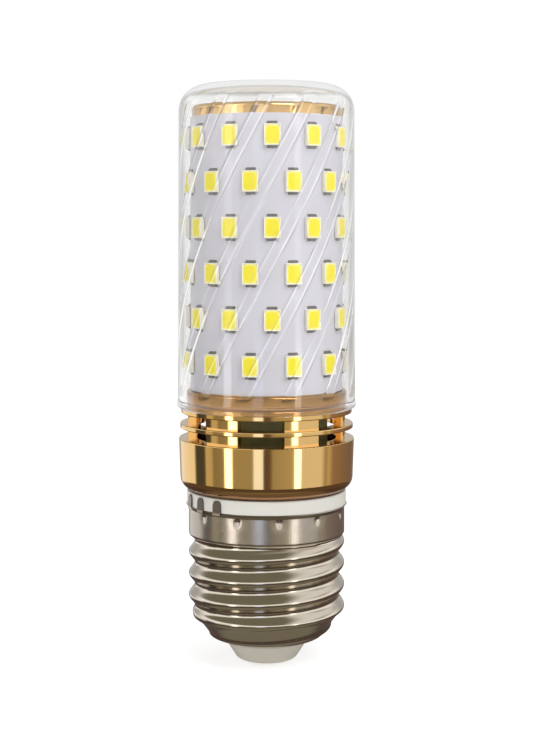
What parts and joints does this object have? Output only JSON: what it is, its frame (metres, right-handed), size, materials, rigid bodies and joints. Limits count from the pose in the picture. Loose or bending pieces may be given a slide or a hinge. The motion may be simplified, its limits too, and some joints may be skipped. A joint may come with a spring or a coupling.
{
  "type": "corn led bulb",
  "caption": "Tall tubular lamp with a ring of light chips round a column, a clear fluted cover, a gold vented ring and a metal screw cap.",
  "frame": {"origin": "tip of the centre contact, on the bulb's axis, at the bottom of the screw cap", "axes": "+Z along the bulb's axis, from the screw cap to the top of the clear cover; -Y faces the camera of the picture"},
  "size_m": [0.03, 0.03, 0.0965],
  "materials": {
    "clear_plastic": "clear moulded plastic, smooth outside and fluted inside",
    "gold_metal": "polished gold-coloured metal",
    "white_board": "white solder mask on thin board",
    "chip_white": "white moulded chip body",
    "phosphor": "yellow phosphor under clear resin",
    "solder": "dull solder",
    "white_plastic": "white moulded plastic",
    "nickel": "rolled nickel-plated shell, satin",
    "insulator": "pale grey moulded insulator",
    "contact_metal": "nickel-plated nail",
    "green_board": "green circuit board",
    "can_sleeve": "dark sleeved can",
    "black_mould": "black moulded component",
    "resistor_body": "coated resistor body",
    "wire_red": "red insulated wire",
    "wire_white": "white insulated wire"
  },
  "bodies": {
    "root": {"clear_cover": "clear_plastic", "light_column": "gold_metal", "light_board": "white_board", "light_chips_row_1": "chip_white", "phosphor_row_1": "phosphor", "chip_solder_row_1": "solder", "light_chips_row_2": "chip_white", "phosphor_row_2": "phosphor", "chip_solder_row_2": "solder", "light_chips_row_3": "chip_white", "phosphor_row_3": "phosphor", "chip_solder_row_3": "solder", "light_chips_row_4": "chip_white", "phosphor_row_4": "phosphor", "chip_solder_row_4": "solder", "light_chips_row_5": "chip_white", "phosphor_row_5": "phosphor", "chip_solder_row_5": "solder", "light_chips_row_6": "chip_white", "phosphor_row_6": "phosphor", "chip_solder_row_6": "solder", "vented_housing": "gold_metal", "cap_collar": "white_plastic", "screw_shell": "nickel", "cap_insulator": "insulator", "centre_contact": "contact_metal", "driver_board": "green_board", "smoothing_capacitor": "can_sleeve", "bridge_rectifier": "black_mould", "current_regulators": "black_mould", "chip_resistors": "black_mould", "fuse_resistor": "resistor_body", "live_wire": "wire_red", "neutral_wire": "wire_white", "supply_wire_positive": "wire_red", "supply_wire_negative": "wire_white"}
  },
  "joints": []
}
